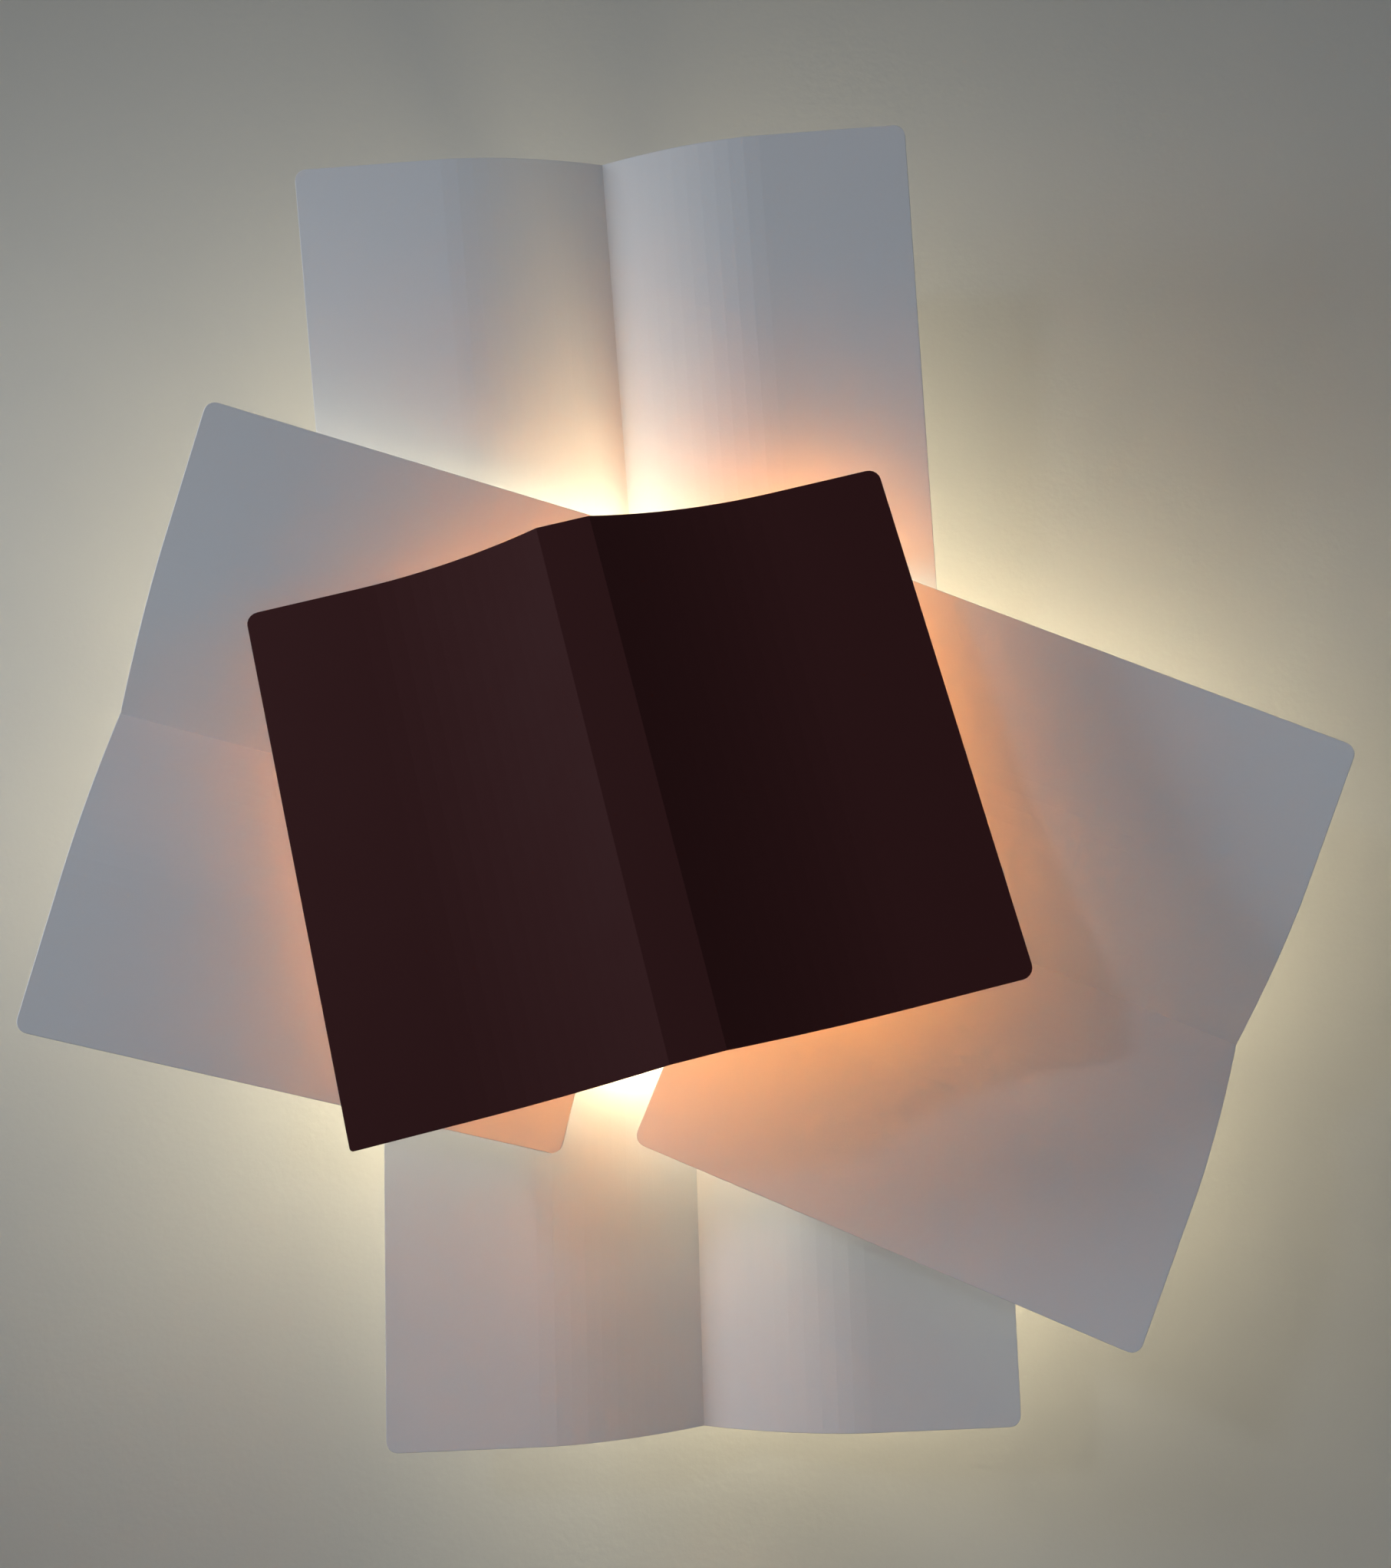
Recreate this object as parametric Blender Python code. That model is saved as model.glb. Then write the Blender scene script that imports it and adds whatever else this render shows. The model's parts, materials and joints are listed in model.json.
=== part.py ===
# Wall lamp of five bent aluminium sheets round two capsule lamps.
# Metres, +Z up. The wall is the plane y = 0 behind the lamp and the lamp stands out along -Y.
# The origin is the middle of the wall plate's flat back, so "depth" below is the distance from the wall.

import math

import bmesh
import bpy
from mathutils import Matrix, Vector

MM = 0.001
DEGREE = math.pi / 180

# Clearances
GAP = 0.3 * MM                  # between pieces that touch
OVERRUN = 3 * MM                # how far a cutter reaches past what it cuts
HOLE_CLEARANCE = 0.3 * MM       # a hole's radius over its screw's
NUT_HOLE_CLEARANCE = 1 * MM     # the canopy's hole round the rod's rear nut
LEAD_CLEARANCE = 0.6 * MM       # a lead's hole over the lead

# Sheets: aluminium, folded like an open book
SHEET_WIDTH = 330 * MM          # across both pages
SHEET_LENGTH = 272 * MM         # along the fold
EASED_EDGE = 0.4 * MM            # chamfer round a sheet's cut edge
SHEET_THICKNESS = 1.5 * MM
FOLD_DEPTH = 29 * MM            # a light sheet's fold lies this far behind its pages
FOLD_REACH = 86 * MM            # from the fold to where the page is flat
FOLD_POWER = 1.8
SPINE_HEIGHT = 22.8 * MM        # the front sheet's spine stands this far proud of its pages
SPINE_HALF_WIDTH = 13.3 * MM
SPINE_REACH = 95 * MM           # from the spine strip's edge to where the page is flat
SPINE_POWER = 2.0
CORNER_RADIUS = 6 * MM
SHARP_CORNER_RADIUS = 1.5 * MM  # the front sheet's lower left corner
CORNER_STEPS = 5
EASED_EDGE_ANGLE = 75 * DEGREE   # eases the cut edges and leaves the folds
CURVE_STEPS = 13

# Wall plate, posts and canopy
PLATE_RADIUS = 49 * MM
PLATE_THICKNESS = 2 * MM
CANOPY_RADIUS = 52 * MM
CANOPY_DEPTH = 20 * MM
CANOPY_WALL = 1.2 * MM
CANOPY_EDGE_RADIUS = 3 * MM
SLOT_PLACE = 40 * MM            # the wall screws' slots, left and right of the middle
SLOT_HALF_LENGTH = 4 * MM
SLOT_RADIUS = 2.6 * MM
CABLE_ENTRY_X = -12 * MM
CABLE_ENTRY_Z = -16 * MM
CABLE_ENTRY_RADIUS = 7 * MM
GROMMET_LIP = 1.6 * MM
GROMMET_WALL = 1.4 * MM
POST_CIRCLE = 36 * MM
POST_ANGLES = (45 * DEGREE, 135 * DEGREE, 225 * DEGREE)
POST_RADIUS = 4.5 * MM
SCREW_RADIUS = 2 * MM           # M4
SCREW_HEAD_RADIUS = 3.8 * MM
SCREW_HEAD_HEIGHT = 2.6 * MM
SCREW_REACH = 9 * MM            # how far a spider screw goes into its post
EARTH_ANGLE = 315 * DEGREE
EARTH_CIRCLE = 38 * MM
EARTH_STUD_HEIGHT = 7 * MM
EARTH_WASHER_RADIUS = 5 * MM
EARTH_WASHER_THICKNESS = 1 * MM

# Terminal block inside the canopy
TERMINAL_WIDTH = 30 * MM
TERMINAL_HEIGHT = 15 * MM
TERMINAL_DEPTH = 13 * MM
TERMINAL_BASE = 5 * MM          # depth of the plinth under its poles
TERMINAL_POLE_WIDTH = 7.6 * MM
TERMINAL_POLES = 3
TERMINAL_PITCH = TERMINAL_WIDTH / TERMINAL_POLES
TERMINAL_Z = 14 * MM            # its middle

# Spider: the plate with one arm for each light sheet
SPIDER_THICKNESS = 3 * MM
SPIDER_HUB_RADIUS = 46 * MM
SPIDER_ARM_HALF_WIDTH = 9 * MM

# Swivels: stem, friction washer and lock nut
STEM_SHANK_RADIUS = 3 * MM      # M6
STEM_COLUMN_RADIUS = 5 * MM
STEM_COLLAR_RADIUS = 8 * MM
STEM_COLLAR_HEIGHT = 2.5 * MM
STEM_SPIGOT_RADIUS = 2.5 * MM
STEM_SPIGOT_LENGTH = 2.6 * MM
STEM_TIP = 2 * MM               # thread that shows past the nut
WASHER_RADIUS = 8 * MM
WASHER_THICKNESS = 1 * MM
NUT_FLATS = 10 * MM
NUT_HEIGHT = 5 * MM

# Saddles: the pieces between a stem and its sheet, bonded to the sheet's back
SADDLE_HALF_WIDTH = 12 * MM
SADDLE_HALF_LENGTH = 14 * MM
SADDLE_WEB = 4.2 * MM           # from the fold's back to the stem's end
SADDLE_STEPS = 5
FRONT_SADDLE_HALF_WIDTH = 10 * MM
FRONT_SADDLE_HALF_LENGTH = 32 * MM
FRONT_SADDLE_WEB = 5 * MM

# Tower between the left and right sheets
TOWER_X = 4.5 * MM
TOWER_Z = -35 * MM
ROD_RADIUS = 4 * MM             # M8
ROD_NUT_FLATS = 13 * MM
ROD_NUT_HEIGHT = 6 * MM
ROD_TIP = 2 * MM
SPACER_RADIUS = 6 * MM
BRACKET_DEPTH = 54 * MM         # the lamp bracket's back, from the wall
YOKE_DEPTH = 104 * MM           # the yoke's back, from the wall
YOKE_THICKNESS = 3 * MM
YOKE_HALF_WIDTH = 9 * MM

# Lamp bracket, holders and capsule lamps, in line with the slanting gap between the side sheets
LAMP_SLANT = 18.2 * DEGREE      # from upright, leaning right
BRACKET_THICKNESS = 2 * MM
BRACKET_HALF_LENGTH = 36 * MM
BRACKET_HALF_WIDTH = 9 * MM
BRACKET_EAR = 22 * MM
LAMP_AXIS_HEIGHT = 12 * MM      # lamp axis over the bracket's front
HOLDER_RADIUS = 9.5 * MM
HOLDER_LENGTH = 18 * MM
HOLDER_SHOULDER_RADIUS = 8 * MM
HOLDER_SHOULDER_LENGTH = 4 * MM
HOLDER_SOCKET_RADIUS = 7.5 * MM
HOLDER_SOCKET_DEPTH = 8 * MM
HOLDER_SCREW_RADIUS = 1.5 * MM
HOLDER_SCREW_OFFSET = 5.5 * MM
HOLDER_SCREW_REACH = 3 * MM
HOLDER_SCREW_HEAD_RADIUS = 2.6 * MM
HOLDER_SCREW_HEAD_HEIGHT = 1.6 * MM
BULB_BASE_RADIUS = 7.2 * MM
BULB_BASE_LENGTH = 12 * MM
BULB_NECK_RADIUS = 5.5 * MM
BULB_GLASS_RADIUS = 8 * MM
BULB_GLASS_LENGTH = 38 * MM

# Leads from the terminal block to the holders
LEAD_RADIUS = 1.6 * MM
LEAD_SPREAD = 2 * MM            # each lead's distance from the bush's middle
LEAD_HOLE_RADIUS = 6.3 * MM
BUSH_WALL = 1.6 * MM
BUSH_LIP = 1.5 * MM
LEAD_HOLE_ALONG = 20 * MM       # from the tower, along and across the lamps' line
LEAD_HOLE_ACROSS = 16 * MM

# The five sheets at rest. x and z place the stem, depth is that of the fold's or spine's middle there,
# inset is from the sheet's inner end to the stem. Turn is from upright, leftwards as seen from the front;
# lean brings the outer end forwards, and roll brings the sheet's right side (seen with its outer end up)
# forwards.
SHEETS = {
    "top": dict(x=-22 * MM, z=129 * MM, depth=45.5 * MM, inset=35 * MM,
                turn=4.8 * DEGREE, lean=9.0 * DEGREE, roll=-2.9 * DEGREE),
    "bottom": dict(x=10 * MM, z=-88.5 * MM, depth=36 * MM, inset=35 * MM,
                   turn=181.7 * DEGREE, lean=0 * DEGREE, roll=0 * DEGREE),
    "left": dict(x=-59.6 * MM, z=-8.8 * MM, depth=66 * MM, inset=35 * MM,
                 turn=76.1 * DEGREE, lean=9.8 * DEGREE, roll=2.9 * DEGREE),
    "right": dict(x=60.2 * MM, z=-26.3 * MM, depth=64 * MM, inset=18 * MM,
                  turn=247.7 * DEGREE, lean=6.5 * DEGREE, roll=0 * DEGREE),
}
FRONT = dict(x=-15.6 * MM, z=TOWER_Z, depth=184.5 * MM, inset=92.7 * MM,
             turn=14.1 * DEGREE, lean=-8.9 * DEGREE, roll=0 * DEGREE)

ROUND = 24                      # sides of a round piece
SMALL_ROUND = 12                # sides of a screw or post


def clear_scene():
    for item in list(bpy.data.objects):
        bpy.data.objects.remove(item, do_unlink=True)


def material(name, colour, roughness, metallic=0.0):
    made = bpy.data.materials.new(name)
    made.use_nodes = True
    shader = made.node_tree.nodes["Principled BSDF"]
    shader.inputs["Base Color"].default_value = (*colour, 1)
    shader.inputs["Roughness"].default_value = roughness
    shader.inputs["Metallic"].default_value = metallic
    return made


def at(x, depth, z):
    """A place in the model, from its distance to the wall."""
    return Vector((x, -depth, z))


def finish(obj, finish_material, parent=None):
    bpy.context.collection.objects.link(obj)
    obj.data.materials.append(finish_material)
    obj.parent = parent
    return obj


def mesh_object(name, builder, finish_material, parent=None, smooth=True):
    """An object from a bmesh whose faces are turned outwards."""
    bmesh.ops.recalc_face_normals(builder, faces=builder.faces)
    mesh = bpy.data.meshes.new(name)
    builder.to_mesh(mesh)
    builder.free()
    if smooth:
        mesh.shade_smooth()
        mesh.set_sharp_from_angle(angle=30 * DEGREE)
    return finish(bpy.data.objects.new(name, mesh), finish_material, parent)


def add_turned(builder, outline, place=Matrix(), sides=ROUND, ring=False):
    """A turned body about the Y axis. The outline is (radius, depth) pairs; a ring's outline closes."""
    rings = []
    for radius, depth in outline:
        if radius == 0:
            rings.append([builder.verts.new(place @ Vector((0, -depth, 0)))] * sides)
            continue
        turns = (2 * math.pi * side / sides for side in range(sides))
        spots = (Vector((radius * math.cos(turn), -depth, radius * math.sin(turn))) for turn in turns)
        rings.append([builder.verts.new(place @ spot) for spot in spots])
    pairs = list(zip(rings, rings[1:]))
    if ring:
        pairs.append((rings[-1], rings[0]))
    for lower, upper in pairs:
        if lower[0] is lower[1] and upper[0] is upper[1]:
            continue
        for side in range(sides):
            after = (side + 1) % sides
            corners = [lower[side], lower[after], upper[after], upper[side]]
            builder.faces.new(list(dict.fromkeys(corners)))


def turned(name, outline, finish_material, parent=None, place=Matrix(), sides=ROUND, ring=False):
    builder = bmesh.new()
    add_turned(builder, outline, place, sides, ring)
    return mesh_object(name, builder, finish_material, parent)


def rod_outline(radius, start, end):
    return [(0, start), (radius, start), (radius, end), (0, end)]


def ring_outline(outer, inner, start, end):
    return [(outer, start), (outer, end), (inner, end), (inner, start)]


def arc(radius, start, end, steps, centre=(0, 0)):
    """Points of an arc in the plane of the wall, as (x, z)."""
    return [(centre[0] + radius * math.cos(start + (end - start) * step / steps),
             centre[1] + radius * math.sin(start + (end - start) * step / steps))
            for step in range(steps + 1)]


def circle(radius, centre=(0, 0), sides=ROUND):
    return arc(radius, 0, 2 * math.pi, sides, centre)[:-1]


def hexagon(flats, centre=(0, 0)):
    return circle(flats / math.sqrt(3), centre, 6)


def rounded_bar(start, end, half_width, steps=8):
    """The outline of a bar with two round ends."""
    heading = math.atan2(end[1] - start[1], end[0] - start[0])
    quarter = math.pi / 2
    return (arc(half_width, heading - quarter, heading + quarter, steps, end)
            + arc(half_width, heading + quarter, heading + 3 * quarter, steps, start))


def plate(name, outline, holes, back, thickness, finish_material, parent=None):
    """A flat plate with holes, parallel to the wall, with its back at the given depth."""
    curve = bpy.data.curves.new(name, "CURVE")
    curve.dimensions = "2D"
    curve.fill_mode = "BOTH"
    curve.extrude = thickness / 2
    for loop in [outline] + holes:
        spline = curve.splines.new("POLY")
        spline.points.add(len(loop) - 1)
        for point, (x, z) in zip(spline.points, loop):
            point.co = (x, z, 0, 1)
        spline.use_cyclic_u = True
    obj = finish(bpy.data.objects.new(name, curve), finish_material, parent)
    obj.location = at(0, back + thickness / 2, 0)
    obj.rotation_euler = (math.pi / 2, 0, 0)
    return obj


def cutter(name, builder, parent=None):
    obj = mesh_object(name, builder, CUTTER_LOOK, parent, smooth=False)
    obj.hide_render = True
    obj.display_type = "WIRE"
    return obj


def cut(obj, tool):
    modifier = obj.modifiers.new("cut_" + tool.name, "BOOLEAN")
    modifier.operation = "DIFFERENCE"
    modifier.solver = "EXACT"
    modifier.object = tool


def polar(radius, angle):
    return radius * math.cos(angle), radius * math.sin(angle)


def moved(x, z):
    return Matrix.Translation(at(x, 0, z))


# Finishes
clear_scene()
CUTTER_LOOK = material("cutter", (0.5, 0.5, 0.5), 0.5)
WHITE_COAT = material("white_powder_coat", (0.78, 0.77, 0.76), 0.55)
DARK_COAT = material("dark_red_brown_coat", (0.045, 0.017, 0.017), 0.6)
ZINC = material("zinc_plated_steel", (0.62, 0.62, 0.6), 0.38, 1.0)
BRIGHT = material("bright_steel", (0.7, 0.7, 0.7), 0.25, 1.0)
CAST = material("cast_aluminium", (0.72, 0.72, 0.73), 0.45, 1.0)
CERAMIC = material("ceramic", (0.86, 0.84, 0.79), 0.35)
OPAL = material("opal_glass", (0.95, 0.93, 0.88), 0.3)
RUBBER = material("black_rubber", (0.03, 0.03, 0.03), 0.7)
FIBRE = material("nylon_washer", (0.75, 0.74, 0.7), 0.5)
SLEEVE = material("silicone_sleeve", (0.8, 0.8, 0.78), 0.6)
POLYAMIDE = material("white_polyamide", (0.85, 0.85, 0.82), 0.5)

# Depths that follow from the stack: wall plate, canopy, spider
CANOPY_FACE_BACK = CANOPY_DEPTH - CANOPY_WALL
SPIDER_BACK = CANOPY_DEPTH + GAP
SPIDER_FRONT = SPIDER_BACK + SPIDER_THICKNESS
YOKE_FRONT = YOKE_DEPTH + YOKE_THICKNESS
BRACKET_FRONT = BRACKET_DEPTH + BRACKET_THICKNESS
LAMP_DEPTH = BRACKET_FRONT + LAMP_AXIS_HEIGHT
LAMP_ALONG = Vector((math.sin(LAMP_SLANT), 0, math.cos(LAMP_SLANT)))
LAMP_ACROSS = Vector((-math.cos(LAMP_SLANT), 0, math.sin(LAMP_SLANT)))
TOWER = Vector((TOWER_X, 0, TOWER_Z))
LEAD_HOLE = TOWER + LAMP_ALONG * LEAD_HOLE_ALONG + LAMP_ACROSS * LEAD_HOLE_ACROSS
POSTS = [polar(POST_CIRCLE, angle) for angle in POST_ANGLES]


def page_depth(across):
    """A light sheet's middle surface, forwards of its fold, at a distance across the sheet."""
    share = min(abs(across) / FOLD_REACH, 1)
    return FOLD_DEPTH * (1 - (1 - share) ** FOLD_POWER)


def spine_depth(across):
    """The front sheet's middle surface, forwards of its spine strip (so never above zero)."""
    share = min(max(abs(across) - SPINE_HALF_WIDTH, 0) / SPINE_REACH, 1)
    return SPINE_HEIGHT * ((1 - share) ** SPINE_POWER - 1)


def surface_normal(profile, across):
    """The unit normal of a sheet's profile, towards the viewer, as (across, forwards)."""
    step = SHEET_THICKNESS / 100
    slope = (profile(across + step) - profile(across - step)) / (2 * step)
    length = math.hypot(slope, 1)
    return -slope / length, 1 / length


def half_stations(inner, reach, corner):
    """Distances across half a sheet: close together in the curve and at the rounded corner."""
    half = SHEET_WIDTH / 2
    curve = [inner + reach * (step / CURVE_STEPS) ** 1.3 for step in range(CURVE_STEPS + 1)]
    rounded = [half - corner * (1 - math.sin(step / CORNER_STEPS * math.pi / 2))
               for step in range(CORNER_STEPS + 1)]
    return curve + rounded


def edge_place(across, corner):
    """How far a sheet's end is from its middle at a distance across it, with the corner rounded off."""
    past = abs(across) - (SHEET_WIDTH / 2 - corner)
    if past <= 0:
        return SHEET_LENGTH / 2
    return SHEET_LENGTH / 2 - corner + math.sqrt(max(corner ** 2 - past ** 2, 0))


def sheet(name, place, profile, inner, reach, stem_along, corners, finish_material, parent):
    """A bent sheet. From the stem's point, X runs across, Z to the outer end and -Y to the viewer."""
    lower_left, lower_right, upper_left, upper_right = corners
    left = [-across for across in half_stations(inner, reach, max(lower_left, upper_left))][::-1]
    right = half_stations(inner, reach, max(lower_right, upper_right))
    stations = left[:-1] + right if inner == 0 else left + right
    builder = bmesh.new()
    rows = []
    for across in stations:
        low_corner = lower_left if across < 0 else lower_right
        high_corner = upper_left if across < 0 else upper_right
        forwards = profile(across)
        low = -edge_place(across, low_corner) - stem_along
        high = edge_place(across, high_corner) - stem_along
        rows.append([builder.verts.new((across, -forwards, along)) for along in (low, high)])
    for one, other in zip(rows, rows[1:]):
        builder.faces.new((one[0], other[0], other[1], one[1]))
    obj = mesh_object(name, builder, finish_material, parent)
    turn_piece(obj, place)
    solid = obj.modifiers.new("thickness", "SOLIDIFY")
    solid.thickness = SHEET_THICKNESS
    solid.offset = 0
    solid.use_even_offset = True
    rim = obj.modifiers.new("eased_edge", "BEVEL")
    rim.limit_method = "ANGLE"
    rim.angle_limit = EASED_EDGE_ANGLE
    rim.width = EASED_EDGE
    rim.segments = 1
    return obj


def turn_piece(obj, place):
    obj.rotation_mode = "ZXY"
    obj.rotation_euler = (place["lean"], -place["turn"], place["roll"])


def sheet_matrix(place):
    return (Matrix.Rotation(-place["turn"], 4, "Y") @ Matrix.Rotation(place["lean"], 4, "X")
            @ Matrix.Rotation(place["roll"], 4, "Z"))


def wedge(name, place, profile, half_width, half_length, back, steps, finish_material, parent):
    """A block whose front follows a sheet's back and whose back is square to the stem, at the depth back."""
    turn = sheet_matrix(place).to_3x3()
    skin = SHEET_THICKNESS / 2 + GAP
    builder = bmesh.new()
    columns = []
    for step in range(-steps, steps + 1):
        across = half_width * step / steps
        aside, forwards = surface_normal(profile, across)
        if step == 0:
            slope = (profile(half_width / steps) - profile(0)) / (half_width / steps)
            aside, forwards = 0, math.hypot(slope, 1)
        front_x = across - skin * aside
        front_y = -(profile(across) - skin * forwards)
        column = []
        for along in (-half_length, half_length):
            back_y = (-back - turn[1][0] * front_x - turn[1][2] * along) / turn[1][1]
            column.append(builder.verts.new((front_x, front_y, along)))
            column.append(builder.verts.new((front_x, back_y, along)))
        columns.append(column)
    for one, other in zip(columns, columns[1:]):
        low_front, low_back, high_front, high_back = range(4)
        for first, second in ((low_front, high_front), (high_front, high_back),
                              (high_back, low_back), (low_back, low_front)):
            builder.faces.new((one[first], one[second], other[second], other[first]))
    for column in (columns[0], columns[-1]):
        builder.faces.new((column[0], column[1], column[3], column[2]))
    obj = mesh_object(name, builder, finish_material, parent)
    turn_piece(obj, place)
    return obj


def stem_and_nut(name, seat_front, plate_back, saddle_back, depth, parent):
    """The stem through its plate, and its lock nut. Depths are from the wall; depth is the pivot's."""
    collar_back = seat_front + GAP + WASHER_THICKNESS + GAP
    collar_front = collar_back + STEM_COLLAR_HEIGHT
    nut_front = plate_back - GAP
    nut_back = nut_front - NUT_HEIGHT
    column_end = saddle_back - GAP
    outline = [(0, nut_back - STEM_TIP), (STEM_SHANK_RADIUS, nut_back - STEM_TIP),
               (STEM_SHANK_RADIUS, collar_back), (STEM_COLLAR_RADIUS, collar_back),
               (STEM_COLLAR_RADIUS, collar_front), (STEM_COLUMN_RADIUS, collar_front),
               (STEM_COLUMN_RADIUS, column_end), (STEM_SPIGOT_RADIUS, column_end),
               (STEM_SPIGOT_RADIUS, column_end + STEM_SPIGOT_LENGTH), (0, column_end + STEM_SPIGOT_LENGTH)]
    turned("stem_" + name, [(radius, place - depth) for radius, place in outline], ZINC, parent, sides=20)
    plate("nut_" + name, hexagon(NUT_FLATS), [circle(STEM_SHANK_RADIUS + HOLE_CLEARANCE)],
          nut_back - depth, NUT_HEIGHT, BRIGHT, parent)


def swivel(name, place):
    """The empty that a sheet and its saddle, stem and nut turn with, on the stem's axis."""
    empty = bpy.data.objects.new("swivel_" + name, None)
    empty.location = at(place["x"], place["depth"], place["z"])
    bpy.context.collection.objects.link(empty)
    return empty


def spigot_cutter(name, depth_from_pivot, parent):
    builder = bmesh.new()
    add_turned(builder, rod_outline(STEM_SPIGOT_RADIUS + HOLE_CLEARANCE, depth_from_pivot - OVERRUN,
                                    depth_from_pivot + STEM_SPIGOT_LENGTH), sides=SMALL_ROUND)
    return cutter("spigot_hole_" + name, builder, parent)


def light_sheet(name, place):
    pivot = swivel(name, place)
    depth = place["depth"]
    along = place["inset"] - SHEET_LENGTH / 2
    corners = (CORNER_RADIUS,) * 4
    sheet("sheet_" + name, place, page_depth, 0, FOLD_REACH, along, corners, WHITE_COAT, pivot)
    fold_slope = (page_depth(SADDLE_HALF_WIDTH / SADDLE_STEPS)) / (SADDLE_HALF_WIDTH / SADDLE_STEPS)
    web_back = -(SHEET_THICKNESS / 2 + GAP) * math.hypot(fold_slope, 1) - SADDLE_WEB
    saddle = wedge("saddle_" + name, place, page_depth, SADDLE_HALF_WIDTH, SADDLE_HALF_LENGTH, web_back,
                   SADDLE_STEPS, CAST, pivot)
    cut(saddle, spigot_cutter(name, web_back, pivot))
    stem_and_nut(name, SPIDER_FRONT, SPIDER_BACK, depth + web_back, depth, pivot)


def front_sheet(place):
    pivot = swivel("front", place)
    depth = place["depth"]
    along = place["inset"] - SHEET_LENGTH / 2
    corners = (SHARP_CORNER_RADIUS, CORNER_RADIUS, CORNER_RADIUS, CORNER_RADIUS)
    sheet("sheet_front", place, spine_depth, SPINE_HALF_WIDTH, SPINE_REACH, along, corners, DARK_COAT, pivot)
    skin = SHEET_THICKNESS / 2 + GAP
    lean_rise = FRONT_SADDLE_HALF_LENGTH * math.tan(abs(place["lean"]))
    web_back = -skin - FRONT_SADDLE_WEB - lean_rise
    saddle = wedge("saddle_front", place, lambda across: 0, FRONT_SADDLE_HALF_WIDTH, FRONT_SADDLE_HALF_LENGTH,
                   web_back, 1, CAST, pivot)
    cut(saddle, spigot_cutter("front", web_back, pivot))
    stem_and_nut("front", YOKE_FRONT, YOKE_DEPTH, depth + web_back, depth, pivot)


def wall_plate():
    slots = [rounded_bar((place, -SLOT_HALF_LENGTH), (place, SLOT_HALF_LENGTH), SLOT_RADIUS)
             for place in (-SLOT_PLACE, SLOT_PLACE)]
    entry = circle(CABLE_ENTRY_RADIUS, (CABLE_ENTRY_X, CABLE_ENTRY_Z))
    plate("wall_plate", circle(PLATE_RADIUS, sides=48), slots + [entry], 0, PLATE_THICKNESS, ZINC)
    lip = CABLE_ENTRY_RADIUS + GROMMET_LIP
    body = CABLE_ENTRY_RADIUS - GAP
    bore = body - GROMMET_WALL
    front = PLATE_THICKNESS + GAP
    outline = [(body, GAP), (body, front), (lip, front), (lip, front + GROMMET_LIP),
               (bore, front + GROMMET_LIP), (bore, GAP)]
    turned("grommet", outline, RUBBER, place=moved(CABLE_ENTRY_X, CABLE_ENTRY_Z), ring=True)


def posts_and_screws():
    end = CANOPY_FACE_BACK - GAP
    bore = SCREW_RADIUS + HOLE_CLEARANCE
    bottom = end - SCREW_REACH - GAP
    start = PLATE_THICKNESS + GAP
    head = SPIDER_FRONT + GAP
    post_outline = [(0, start), (POST_RADIUS, start), (POST_RADIUS, end), (bore, end), (bore, bottom),
                    (0, bottom)]
    screw_outline = [(0, end - SCREW_REACH), (SCREW_RADIUS, end - SCREW_REACH), (SCREW_RADIUS, head),
                     (SCREW_HEAD_RADIUS, head), (SCREW_HEAD_RADIUS * 0.8, head + SCREW_HEAD_HEIGHT),
                     (0, head + SCREW_HEAD_HEIGHT)]
    for number, (x, z) in enumerate(POSTS, 1):
        turned(f"post_{number}", post_outline, ZINC, place=moved(x, z), sides=SMALL_ROUND)
        turned(f"spider_screw_{number}", screw_outline, BRIGHT, place=moved(x, z), sides=SMALL_ROUND)


def canopy():
    edge = CANOPY_EDGE_RADIUS
    outer = [(CANOPY_RADIUS - edge + edge * math.cos(step * math.pi / 8),
              CANOPY_DEPTH - edge + edge * math.sin(step * math.pi / 8)) for step in range(5)]
    inner_edge = edge - CANOPY_WALL
    inner = [(CANOPY_RADIUS - edge + inner_edge * math.cos(step * math.pi / 8),
              CANOPY_DEPTH - edge + inner_edge * math.sin(step * math.pi / 8)) for step in range(4, -1, -1)]
    outline = ([(CANOPY_RADIUS, GAP)] + outer + [(0, CANOPY_DEPTH), (0, CANOPY_FACE_BACK)] + inner
               + [(CANOPY_RADIUS - CANOPY_WALL, GAP)])
    shell = turned("canopy", outline, WHITE_COAT, sides=48, ring=True)
    holes = bmesh.new()
    spots = [(x, z, SCREW_RADIUS + HOLE_CLEARANCE) for x, z in POSTS]
    spots.append((TOWER.x, TOWER.z, ROD_NUT_FLATS / math.sqrt(3) + NUT_HOLE_CLEARANCE))
    spots.append((LEAD_HOLE.x, LEAD_HOLE.z, LEAD_HOLE_RADIUS))
    for x, z, radius in spots:
        add_turned(holes, rod_outline(radius, CANOPY_FACE_BACK - OVERRUN, CANOPY_DEPTH + OVERRUN),
                   moved(x, z))
    cut(shell, cutter("canopy_holes", holes))


def earth_screw():
    x, z = polar(EARTH_CIRCLE, EARTH_ANGLE)
    start = PLATE_THICKNESS + GAP
    washer = start + EARTH_WASHER_THICKNESS
    end = start + EARTH_STUD_HEIGHT
    head = end - SCREW_HEAD_HEIGHT
    outline = [(0, start), (EARTH_WASHER_RADIUS, start), (EARTH_WASHER_RADIUS, washer),
               (SCREW_RADIUS, washer), (SCREW_RADIUS, head), (SCREW_HEAD_RADIUS, head),
               (SCREW_HEAD_RADIUS, end), (0, end)]
    turned("earth_screw", outline, BRIGHT, place=moved(x, z), sides=SMALL_ROUND)


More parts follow.
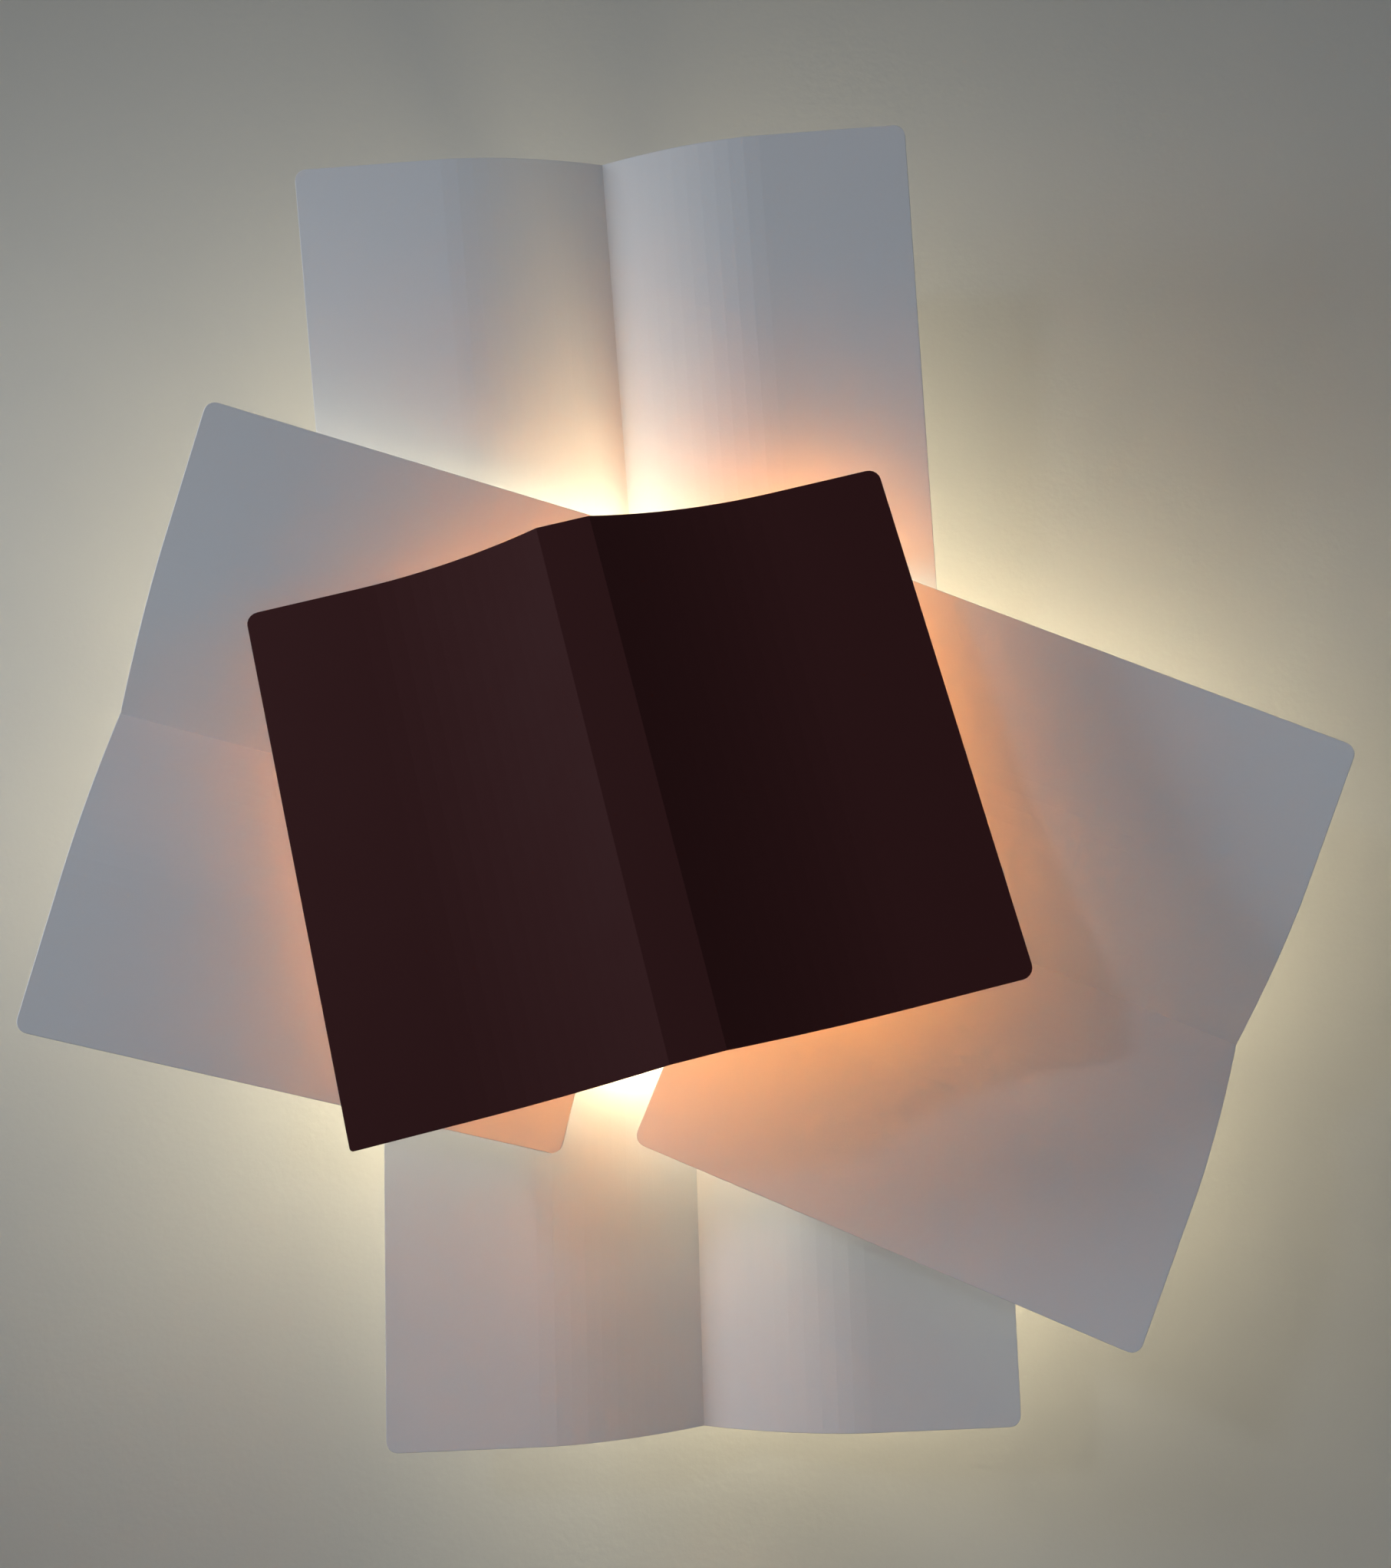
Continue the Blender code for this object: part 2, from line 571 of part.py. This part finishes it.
def terminal_block():
    """Three poles on a plinth, cut as one outline and extruded upwards."""
    start = PLATE_THICKNESS + GAP
    top = start + TERMINAL_DEPTH
    half = TERMINAL_WIDTH / 2
    outline = [(-half, start), (half, start), (half, start + TERMINAL_BASE)]
    centres = [half - TERMINAL_PITCH * (pole + 0.5) for pole in range(TERMINAL_POLES)]
    for centre in centres:
        right = centre + TERMINAL_POLE_WIDTH / 2
        left = centre - TERMINAL_POLE_WIDTH / 2
        outline += [(right, start + TERMINAL_BASE), (right, top), (left, top), (left, start + TERMINAL_BASE)]
    outline.append((-half, start + TERMINAL_BASE))
    builder = bmesh.new()
    low = TERMINAL_Z - TERMINAL_HEIGHT / 2
    high = TERMINAL_Z + TERMINAL_HEIGHT / 2
    faces = [builder.verts.new(at(x, depth, low)) for x, depth in dict.fromkeys(outline)]
    face = builder.faces.new(faces)
    grown = bmesh.ops.extrude_face_region(builder, geom=[face])
    bmesh.ops.translate(builder, vec=(0, 0, high - low),
                        verts=[item for item in grown["geom"] if isinstance(item, bmesh.types.BMVert)])
    mesh_object("terminal_block", builder, POLYAMIDE, smooth=False)


def friction_washer(name, place, seat):
    start = seat + GAP
    outline = ring_outline(WASHER_RADIUS, STEM_SHANK_RADIUS + HOLE_CLEARANCE, start, start + WASHER_THICKNESS)
    turned("friction_washer_" + name, outline, FIBRE, place=moved(place["x"], place["z"]), sides=20,
           ring=True)


def spider():
    """A hub with four round-ended arms, out to the four stems."""
    arms = sorted(((math.atan2(place["z"], place["x"]) % (2 * math.pi), math.hypot(place["x"], place["z"]))
                   for place in SHEETS.values()))
    spread = math.asin(SPIDER_ARM_HALF_WIDTH / SPIDER_HUB_RADIUS)
    outline = []
    for index, (heading, length) in enumerate(arms):
        following = arms[(index + 1) % len(arms)][0]
        if following < heading:
            following += 2 * math.pi
        tip = polar(length, heading)
        outline += arc(SPIDER_ARM_HALF_WIDTH, heading - math.pi / 2, heading + math.pi / 2, 8, tip)
        outline += arc(SPIDER_HUB_RADIUS, heading + spread, following - spread, 8)
    stem_holes = [circle(STEM_SHANK_RADIUS + HOLE_CLEARANCE, (place["x"], place["z"]), 16)
                  for place in SHEETS.values()]
    screw_holes = [circle(SCREW_RADIUS + HOLE_CLEARANCE, post, 16) for post in POSTS]
    rod_hole = circle(ROD_RADIUS + HOLE_CLEARANCE, (TOWER.x, TOWER.z), 20)
    lead_hole = circle(LEAD_HOLE_RADIUS, (LEAD_HOLE.x, LEAD_HOLE.z), 20)
    plate("spider", outline, stem_holes + screw_holes + [rod_hole, lead_hole], SPIDER_BACK,
          SPIDER_THICKNESS, ZINC)
    for name, place in SHEETS.items():
        friction_washer(name, place, SPIDER_FRONT)


def tower():
    """The threaded rod with its two spacers and nuts, and the yoke that carries the front sheet's stem."""
    spot = moved(TOWER.x, TOWER.z)
    rear_nut = SPIDER_BACK - GAP - ROD_NUT_HEIGHT
    front_nut = YOKE_FRONT + GAP
    turned("tower_rod", rod_outline(ROD_RADIUS, rear_nut - ROD_TIP, front_nut + ROD_NUT_HEIGHT + ROD_TIP),
           ZINC, place=spot, sides=20)
    bore = ROD_RADIUS + HOLE_CLEARANCE
    turned("spacer_rear", ring_outline(SPACER_RADIUS, bore, SPIDER_FRONT + GAP, BRACKET_DEPTH - GAP), ZINC,
           place=spot, sides=20, ring=True)
    turned("spacer_front", ring_outline(SPACER_RADIUS, bore, BRACKET_FRONT + GAP, YOKE_DEPTH - GAP), ZINC,
           place=spot, sides=20, ring=True)
    for name, start in (("rear", rear_nut), ("front", front_nut)):
        plate("rod_nut_" + name, hexagon(ROD_NUT_FLATS, (TOWER.x, TOWER.z)),
              [circle(bore, (TOWER.x, TOWER.z), 20)], start, ROD_NUT_HEIGHT, BRIGHT)
    pin = (FRONT["x"], FRONT["z"])
    centre = (TOWER.x, TOWER.z)
    plate("yoke", rounded_bar(pin, centre, YOKE_HALF_WIDTH),
          [circle(bore, centre, 20), circle(STEM_SHANK_RADIUS + HOLE_CLEARANCE, pin, 16)],
          YOKE_DEPTH, YOKE_THICKNESS, ZINC)
    friction_washer("front", FRONT, YOKE_FRONT)


def lamp_frame(side):
    """Turns a piece made along the depth axis so that it points along the lamps' line, up or down."""
    along = LAMP_ALONG * side
    across = LAMP_ACROSS
    forwards = Vector((0, -1, 0))
    turn = Matrix((across, -along, forwards)).transposed()
    return Matrix.Translation(TOWER + forwards * LAMP_DEPTH) @ turn.to_4x4()


def lamp_bracket():
    """A strip bent up at both ends, with a hole for the rod and three in each ear."""
    half = BRACKET_HALF_LENGTH
    rise = BRACKET_FRONT + BRACKET_EAR
    skin = BRACKET_THICKNESS
    outline = [(-half, BRACKET_DEPTH), (half, BRACKET_DEPTH), (half, rise), (half - skin, rise),
               (half - skin, BRACKET_FRONT), (skin - half, BRACKET_FRONT), (skin - half, rise), (-half, rise)]
    builder = bmesh.new()
    first = [builder.verts.new(TOWER + LAMP_ALONG * along + LAMP_ACROSS * BRACKET_HALF_WIDTH
                               + at(0, depth, 0)) for along, depth in outline]
    face = builder.faces.new(first)
    grown = bmesh.ops.extrude_face_region(builder, geom=[face])
    bmesh.ops.translate(builder, vec=LAMP_ACROSS * -2 * BRACKET_HALF_WIDTH,
                        verts=[item for item in grown["geom"] if isinstance(item, bmesh.types.BMVert)])
    strip = mesh_object("lamp_bracket", builder, ZINC, smooth=False)
    holes = bmesh.new()
    add_turned(holes, rod_outline(ROD_RADIUS + HOLE_CLEARANCE, BRACKET_DEPTH - OVERRUN,
                                  BRACKET_FRONT + OVERRUN), moved(TOWER.x, TOWER.z), 20)
    for side in (-1, 1):
        frame = lamp_frame(side)
        start = half - skin - OVERRUN
        end = half + OVERRUN
        add_turned(holes, rod_outline(LEAD_RADIUS + LEAD_CLEARANCE, start, end), frame, SMALL_ROUND)
        for offset in (-HOLDER_SCREW_OFFSET, HOLDER_SCREW_OFFSET):
            add_turned(holes, rod_outline(HOLDER_SCREW_RADIUS + HOLE_CLEARANCE, start, end),
                       frame @ Matrix.Translation((offset, 0, 0)), SMALL_ROUND)
    cut(strip, cutter("bracket_holes", holes))


def lamps():
    """Each end of the bracket carries a ceramic holder with a capsule lamp plugged into it."""
    start = BRACKET_HALF_LENGTH + GAP
    end = start + HOLDER_LENGTH
    screw_bottom = start + HOLDER_SCREW_REACH
    head = BRACKET_HALF_LENGTH - BRACKET_THICKNESS - GAP
    head_back = head - HOLDER_SCREW_HEAD_HEIGHT
    screw_outline = [(0, head_back), (HOLDER_SCREW_HEAD_RADIUS, head_back), (HOLDER_SCREW_HEAD_RADIUS, head),
                     (HOLDER_SCREW_RADIUS, head), (HOLDER_SCREW_RADIUS, screw_bottom - GAP),
                     (0, screw_bottom - GAP)]
    for name, side in (("upper", 1), ("lower", -1)):
        frame = lamp_frame(side)
        socket = end - HOLDER_SOCKET_DEPTH
        holder = turned("holder_" + name,
                        [(0, start), (HOLDER_SHOULDER_RADIUS, start),
                         (HOLDER_SHOULDER_RADIUS, start + HOLDER_SHOULDER_LENGTH),
                         (HOLDER_RADIUS, start + HOLDER_SHOULDER_LENGTH), (HOLDER_RADIUS, end),
                         (HOLDER_SOCKET_RADIUS, end), (HOLDER_SOCKET_RADIUS, socket), (0, socket)],
                        CERAMIC, place=frame)
        holes = bmesh.new()
        for hand, offset in (("left", HOLDER_SCREW_OFFSET), ("right", -HOLDER_SCREW_OFFSET)):
            spot = frame @ Matrix.Translation((offset, 0, 0))
            turned(f"holder_screw_{name}_{hand}", screw_outline, BRIGHT, place=spot, sides=SMALL_ROUND)
            add_turned(holes, rod_outline(HOLDER_SCREW_RADIUS + HOLE_CLEARANCE, start - OVERRUN,
                                          screw_bottom), spot, SMALL_ROUND)
        cut(holder, cutter("holder_holes_" + name, holes))
        base_start = socket + GAP
        base_end = base_start + BULB_BASE_LENGTH
        turned("bulb_base_" + name, rod_outline(BULB_BASE_RADIUS, base_start, base_end), POLYAMIDE,
               place=frame)
        glass_start = base_end + GAP
        glass_end = glass_start + BULB_GLASS_LENGTH
        dome = [(BULB_GLASS_RADIUS * math.cos(step * math.pi / 12),
                 glass_end - BULB_GLASS_RADIUS + BULB_GLASS_RADIUS * math.sin(step * math.pi / 12))
                for step in range(6)]
        neck = glass_start + (BULB_GLASS_RADIUS - BULB_NECK_RADIUS)
        outline = ([(0, glass_start), (BULB_NECK_RADIUS, glass_start), (BULB_GLASS_RADIUS, neck)] + dome
                   + [(0, glass_end)])
        turned("bulb_glass_" + name, outline, OPAL, place=frame)


def smooth_route(points, steps):
    """Points along a smooth curve through the route's own points."""
    route = [points[0] * 2 - points[1]] + points + [points[-1] * 2 - points[-2]]
    made = []
    for before, start, end, after in zip(route, route[1:], route[2:], route[3:]):
        for step in range(steps):
            share = step / steps
            made.append(0.5 * (2 * start + (end - before) * share
                               + (2 * before - 5 * start + 4 * end - after) * share ** 2
                               + (3 * start - before - 3 * end + after) * share ** 3))
    return made + [points[-1]]


def lead(name, points):
    curve = bpy.data.curves.new(name, "CURVE")
    curve.dimensions = "3D"
    curve.bevel_depth = LEAD_RADIUS
    curve.bevel_resolution = 2
    curve.use_fill_caps = True
    route = smooth_route(points, 4)
    spline = curve.splines.new("POLY")
    spline.points.add(len(route) - 1)
    for point, place in zip(spline.points, route):
        point.co = (*place, 1)
    finish(bpy.data.objects.new(name, curve), SLEEVE)


def beside_tower(along, across, depth):
    """A place given along and across the lamps' line."""
    return TOWER + LAMP_ALONG * along + LAMP_ACROSS * across + at(0, depth, 0)


def leads():
    """From the terminal block through the bush and round the bracket into the holders' backs."""
    bore = LEAD_HOLE_RADIUS - GAP - BUSH_WALL
    body = LEAD_HOLE_RADIUS - GAP
    lip = LEAD_HOLE_RADIUS + BUSH_LIP
    front = SPIDER_FRONT + GAP
    back = CANOPY_FACE_BACK - GAP
    outline = [(body, back), (body, front), (lip, front), (lip, front + BUSH_LIP), (bore, front + BUSH_LIP),
               (bore, back)]
    turned("lead_bush", outline, RUBBER, place=moved(LEAD_HOLE.x, LEAD_HOLE.z), sides=20, ring=True)
    block_low = TERMINAL_Z - TERMINAL_HEIGHT / 2
    for name, side in (("upper", 1), ("lower", -1)):
        through = LEAD_HOLE - LAMP_ACROSS * (side * LEAD_SPREAD)
        pole = TERMINAL_PITCH * (side - 1) / 2
        start_depth = PLATE_THICKNESS + TERMINAL_BASE
        ear = BRACKET_HALF_LENGTH - BRACKET_THICKNESS
        start = Vector((pole, -start_depth, block_low - 2 * GAP))
        hole_back = through + at(0, CANOPY_FACE_BACK, 0)
        points = [
            start,
            Vector((pole + (through.x - pole) * 0.2, -start_depth, start.z + (through.z - start.z) * 0.4)),
            Vector((pole + (through.x - pole) * 0.8, -(start_depth + CANOPY_FACE_BACK) / 2,
                    start.z + (through.z - start.z) * 0.9)),
            hole_back,
            through + at(0, BRACKET_DEPTH * 0.75, 0),
            beside_tower(side * ear * 0.45, LEAD_HOLE_ACROSS, BRACKET_DEPTH),
            beside_tower(side * ear * 0.5, LEAD_HOLE_ACROSS * 0.6, LAMP_DEPTH),
            beside_tower(side * ear * 0.75, LEAD_HOLE_ACROSS * 0.08, LAMP_DEPTH),
            beside_tower(side * BRACKET_HALF_LENGTH, 0, LAMP_DEPTH),
        ]
        lead("lead_" + name, points)


wall_plate()
posts_and_screws()
canopy()
earth_screw()
terminal_block()
spider()
tower()
lamp_bracket()
lamps()
leads()
for sheet_name, sheet_place in SHEETS.items():
    light_sheet(sheet_name, sheet_place)
front_sheet(FRONT)
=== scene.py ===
# Looks of the wall lamp: powder-coated sheets, lit capsule lamps, the wall behind them, lights and camera.
# Metres, +Z up. The wall is the plane y = 0 and the lamp stands out along -Y.

import json
import math

import bpy
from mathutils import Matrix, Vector

DEGREE = math.pi / 180

# Colours, linear
WHITE = (0.74, 0.745, 0.76)
DARK = (0.052, 0.0125, 0.0125)
INNER_ORANGE = (0.76, 0.34, 0.11)
WALL_CREAM = (0.6, 0.585, 0.54)
FLOOR_PALE = (0.78, 0.76, 0.72)
LAMP_LIGHT = (1.0, 0.86, 0.55)
STUDIO_LIGHT = (0.83, 0.9, 1.0)
BACKGROUND = (0.86, 0.86, 0.84)

# Where a noise ramp starts and ends, about the middle of the noise's range
RAMP_ENDS = (0.35, 0.65)

# Depth of the fine relief on the pieces and on the stage
PIECE_RELIEF = 0.0001
STAGE_RELIEF = 0.0004

# The front sheet's surface turns from its outer to its inner colour between these normals towards the wall
INNER_SIDE = (0.3, 0.5)

# Light: each lamp's emission, the world's strength, and the lights by name
LAMP_STRENGTH = 52
WORLD_STRENGTH = 0.2
STUDIO = {
    "key": dict(place=(-2.0, -2.5, 1.2), aim=(0, 0, 0), size=0.25, power=7.5),
    "near_left": dict(place=(-1.2, -0.5, 0.3), aim=(-0.1, -0.15, 0), size=0.35, power=0.9,
                      spread=60 * DEGREE),
    "soft": dict(place=(-0.6, -3.0, 0.8), aim=(0, 0, 0), size=2.4, power=2.8),
    "rear": dict(place=(0.5, 3.0, 0.8), aim=(0, 0, 0), size=3.0, power=40),
}
HALO_RADIUS = 0.012
HALOS = {
    "halo_upper_left": dict(place=(-0.022, -0.034, 0.008), power=6.0),
    "halo_lower_right": dict(place=(0.045, -0.036, -0.048), power=8.5),
}

# Stage
WALL_GAP = 0.0006               # behind the wall plate
STAGE_HALF = 4.0
FLOOR_DROP = 1.5                # from the lamp's middle down to the floor

# Camera, fitted to the sheets' corners in the photo
CAMERA_PLACE = (-0.0278, -0.9622, -0.0919)
CAMERA_TILT = 6.95 * DEGREE
CAMERA_PAN = -2.49 * DEGREE
CAMERA_LENS = 43.06
SENSOR_WIDTH = 36.0

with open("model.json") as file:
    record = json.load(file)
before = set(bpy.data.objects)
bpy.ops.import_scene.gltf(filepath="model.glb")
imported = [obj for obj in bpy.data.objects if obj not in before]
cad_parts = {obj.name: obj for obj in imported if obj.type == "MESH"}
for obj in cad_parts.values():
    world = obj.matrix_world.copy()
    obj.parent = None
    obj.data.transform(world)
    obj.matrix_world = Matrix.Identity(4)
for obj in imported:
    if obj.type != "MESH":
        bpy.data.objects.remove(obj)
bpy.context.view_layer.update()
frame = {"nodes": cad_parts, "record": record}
nodes = frame["nodes"]


def shader_of(name):
    """A new material, its nodes and its Principled shader."""
    made = bpy.data.materials.new(name)
    made.use_nodes = True
    tree = made.node_tree
    return made, tree, tree.nodes["Principled BSDF"]


def object_noise(tree, scale, detail=2.0, stretch=None):
    """Noise fixed to the object, as a colour-factor output."""
    place = tree.nodes.new("ShaderNodeTexCoord")
    source = place.outputs["Object"]
    if stretch:
        mapping = tree.nodes.new("ShaderNodeMapping")
        mapping.inputs["Scale"].default_value = stretch
        tree.links.new(source, mapping.inputs["Vector"])
        source = mapping.outputs["Vector"]
    noise = tree.nodes.new("ShaderNodeTexNoise")
    noise.inputs["Scale"].default_value = scale
    noise.inputs["Detail"].default_value = detail
    tree.links.new(source, noise.inputs["Vector"])
    return noise.outputs["Fac"]


def between(tree, factor, low, high, colour=True):
    """A ramp from low to high over the middle of the noise's range."""
    ramp = tree.nodes.new("ShaderNodeValToRGB")
    for element, place, value in zip(ramp.color_ramp.elements, RAMP_ENDS, (low, high)):
        element.position = place
        element.color = (*value, 1) if colour else (value, value, value, 1)
    tree.links.new(factor, ramp.inputs["Fac"])
    return ramp.outputs["Color"]


def shade(colour, share):
    return tuple(channel * share for channel in colour)


def bump(tree, shader, height, strength, distance=PIECE_RELIEF):
    node = tree.nodes.new("ShaderNodeBump")
    node.inputs["Strength"].default_value = strength
    node.inputs["Distance"].default_value = distance
    tree.links.new(height, node.inputs["Height"])
    tree.links.new(node.outputs["Normal"], shader.inputs["Normal"])


def coat(name, colour, roughness, gloss=0.3, grain=900, relief=0.25):
    """Powder coat: a fine pebbled skin, a faint cloudiness and an uneven sheen."""
    made, tree, shader = shader_of(name)
    cloud = object_noise(tree, 9, 3)
    tree.links.new(between(tree, cloud, shade(colour, 0.985), colour), shader.inputs["Base Color"])
    sheen = object_noise(tree, 40, 2)
    tree.links.new(between(tree, sheen, roughness - 0.015, roughness + 0.015, colour=False),
                   shader.inputs["Roughness"])
    shader.inputs["Specular IOR Level"].default_value = gloss
    bump(tree, shader, object_noise(tree, grain, 1), relief)
    return made, tree, shader


def metal(name, colour, roughness, scale, stretch=None, relief=0.15):
    """Bare or plated metal, with a grain that shows in its colour, sheen and relief."""
    made, tree, shader = shader_of(name)
    grain = object_noise(tree, scale, 4, stretch)
    tree.links.new(between(tree, grain, shade(colour, 0.86), colour), shader.inputs["Base Color"])
    tree.links.new(between(tree, grain, roughness - 0.06, roughness + 0.08, colour=False),
                   shader.inputs["Roughness"])
    shader.inputs["Metallic"].default_value = 1.0
    bump(tree, shader, grain, relief)
    return made


def dull(name, colour, roughness, scale=240, relief=0.15, sub=0.0):
    """Plastic, rubber or ceramic, with a share of light that goes below its surface."""
    made, tree, shader = shader_of(name)
    grain = object_noise(tree, scale, 3)
    tree.links.new(between(tree, grain, shade(colour, 0.92), colour), shader.inputs["Base Color"])
    tree.links.new(between(tree, grain, roughness - 0.05, roughness + 0.05, colour=False),
                   shader.inputs["Roughness"])
    shader.inputs["Subsurface Weight"].default_value = sub
    shader.inputs["Subsurface Radius"].default_value = (0.002, 0.0015, 0.001)
    bump(tree, shader, grain, relief)
    return made


def dark_front():
    """Dark red-brown towards the viewer and warm orange on the side that faces the lamps."""
    made, tree, shader = coat("dark_red_brown_coat", DARK, 0.7, gloss=0.12)
    place = tree.nodes.new("ShaderNodeTexCoord")
    split = tree.nodes.new("ShaderNodeSeparateXYZ")
    tree.links.new(place.outputs["Normal"], split.inputs["Vector"])
    side = tree.nodes.new("ShaderNodeMapRange")
    side.inputs["From Min"].default_value, side.inputs["From Max"].default_value = INNER_SIDE
    tree.links.new(split.outputs["Y"], side.inputs["Value"])
    outer = shader.inputs["Base Color"].links[0].from_socket
    mix = tree.nodes.new("ShaderNodeMix")
    mix.data_type = "RGBA"
    colours = [socket for socket in mix.inputs if socket.type == "RGBA"]
    tree.links.new(side.outputs["Result"], mix.inputs["Factor"])
    tree.links.new(outer, colours[0])
    colours[1].default_value = (*INNER_ORANGE, 1)
    result = [socket for socket in mix.outputs if socket.type == "RGBA"][0]
    tree.links.new(result, shader.inputs["Base Color"])
    return made


def lit_glass():
    """Opal glass with the lamp on, its light a little uneven."""
    made, tree, shader = shader_of("lit_opal_glass")
    cloud = object_noise(tree, 120, 2)
    warm = between(tree, cloud, shade(LAMP_LIGHT, 0.94), LAMP_LIGHT)
    tree.links.new(warm, shader.inputs["Base Color"])
    tree.links.new(warm, shader.inputs["Emission Color"])
    shader.inputs["Emission Strength"].default_value = LAMP_STRENGTH
    shader.inputs["Roughness"].default_value = 0.3
    return made


LOOKS = {
    "white_coat": coat("white_powder_coat", WHITE, 0.56)[0],
    "dark_coat": dark_front(),
    "zinc": metal("zinc_plate", (0.6, 0.6, 0.58), 0.4, 160),
    "bright_steel": metal("bright_steel", (0.72, 0.71, 0.69), 0.28, 500, (1, 1, 6)),
    "cast_aluminium": metal("cast_aluminium", (0.7, 0.7, 0.71), 0.5, 420, relief=0.35),
    "ceramic": dull("glazed_ceramic", (0.86, 0.84, 0.78), 0.25, 90, 0.08, 0.1),
    "opal_glass": lit_glass(),
    "black_rubber": dull("black_rubber", (0.028, 0.027, 0.026), 0.7),
    "nylon": dull("nylon", (0.78, 0.76, 0.7), 0.45, 300, 0.1, 0.1),
    "silicone_sleeve": dull("silicone_sleeve", (0.76, 0.75, 0.71), 0.6, 500, 0.2),
    "white_polyamide": dull("white_polyamide", (0.82, 0.82, 0.79), 0.48, 350, 0.12, 0.05),
}

for part in frame["record"]["subparts"]:
    for slot in nodes[part["node"]].material_slots:
        slot.material = LOOKS[part["material_slot"]]


def one_sided(name, colour, relief):
    """A stage surface seen from its front only. It takes shadows and is clear to light from behind."""
    made, tree, shader = shader_of(name)
    cloud = object_noise(tree, 3, 4)
    tree.links.new(between(tree, cloud, shade(colour, 0.97), colour), shader.inputs["Base Color"])
    shader.inputs["Roughness"].default_value = 0.85
    bump(tree, shader, object_noise(tree, 260, 3), relief, STAGE_RELIEF)
    facing = tree.nodes.new("ShaderNodeNewGeometry")
    path = tree.nodes.new("ShaderNodeLightPath")
    either = tree.nodes.new("ShaderNodeMath")
    either.operation = "MAXIMUM"
    tree.links.new(facing.outputs["Backfacing"], either.inputs[0])
    tree.links.new(path.outputs["Is Shadow Ray"], either.inputs[1])
    clear = tree.nodes.new("ShaderNodeBsdfTransparent")
    mix = tree.nodes.new("ShaderNodeMixShader")
    tree.links.new(either.outputs[0], mix.inputs[0])
    tree.links.new(shader.outputs[0], mix.inputs[1])
    tree.links.new(clear.outputs[0], mix.inputs[2])
    tree.links.new(mix.outputs[0], tree.nodes["Material Output"].inputs["Surface"])
    return made


def stage_plane(name, corners, look):
    mesh = bpy.data.meshes.new(name)
    mesh.from_pydata(corners, [], [(0, 1, 2, 3)])
    obj = bpy.data.objects.new(name, mesh)
    bpy.context.collection.objects.link(obj)
    mesh.materials.append(look)


def stage():
    half = STAGE_HALF
    low = -FLOOR_DROP
    back = WALL_GAP
    stage_plane("wall", [(-half, back, low), (half, back, low), (half, back, half), (-half, back, half)],
                one_sided("cream_wall", WALL_CREAM, 0.2))
    stage_plane("floor", [(-half, -half, low), (half, -half, low), (half, half, low), (-half, half, low)],
                one_sided("pale_floor", FLOOR_PALE, 0.05))


def lamp_object(name, light, place):
    obj = bpy.data.objects.new(name, light)
    obj.location = place
    obj.visible_camera = False
    bpy.context.collection.objects.link(obj)
    return obj


def studio_light(name, place, aim, size, power, spread=180 * DEGREE):
    light = bpy.data.lights.new(name, "AREA")
    light.size = size
    light.spread = spread
    light.energy = power
    light.color = STUDIO_LIGHT
    obj = lamp_object(name, light, place)
    obj.rotation_euler = (Vector(aim) - Vector(place)).to_track_quat("-Z", "Y").to_euler()


def halo_light(name, place, power):
    """The lamps' light behind the side sheets, which washes over the wall."""
    light = bpy.data.lights.new(name, "POINT")
    light.energy = power
    light.color = LAMP_LIGHT
    light.shadow_soft_size = HALO_RADIUS
    lamp_object(name, light, place)


def sky():
    """Plain light from all round, and a pale background where the camera sees past the stage."""
    world = bpy.data.worlds.new("studio")
    bpy.context.scene.world = world
    world.use_nodes = True
    tree = world.node_tree
    light = tree.nodes["Background"]
    light.inputs["Color"].default_value = (*STUDIO_LIGHT, 1)
    light.inputs["Strength"].default_value = WORLD_STRENGTH
    seen = tree.nodes.new("ShaderNodeBackground")
    seen.inputs["Color"].default_value = (*BACKGROUND, 1)
    seen.inputs["Strength"].default_value = 1.0
    path = tree.nodes.new("ShaderNodeLightPath")
    mix = tree.nodes.new("ShaderNodeMixShader")
    tree.links.new(path.outputs["Is Camera Ray"], mix.inputs[0])
    tree.links.new(light.outputs[0], mix.inputs[1])
    tree.links.new(seen.outputs[0], mix.inputs[2])
    tree.links.new(mix.outputs[0], tree.nodes["World Output"].inputs["Surface"])


def camera():
    data = bpy.data.cameras.new("camera")
    data.sensor_fit = "HORIZONTAL"
    data.sensor_width = SENSOR_WIDTH
    data.lens = CAMERA_LENS
    obj = bpy.data.objects.new("camera", data)
    obj.location = CAMERA_PLACE
    obj.rotation_euler = (math.pi / 2 + CAMERA_TILT, 0, CAMERA_PAN)
    bpy.context.collection.objects.link(obj)
    bpy.context.scene.camera = obj


stage()
for name, values in STUDIO.items():
    studio_light(name, **values)
for name, values in HALOS.items():
    halo_light(name, **values)
sky()
camera()
bpy.context.scene.view_settings.view_transform = "Standard"
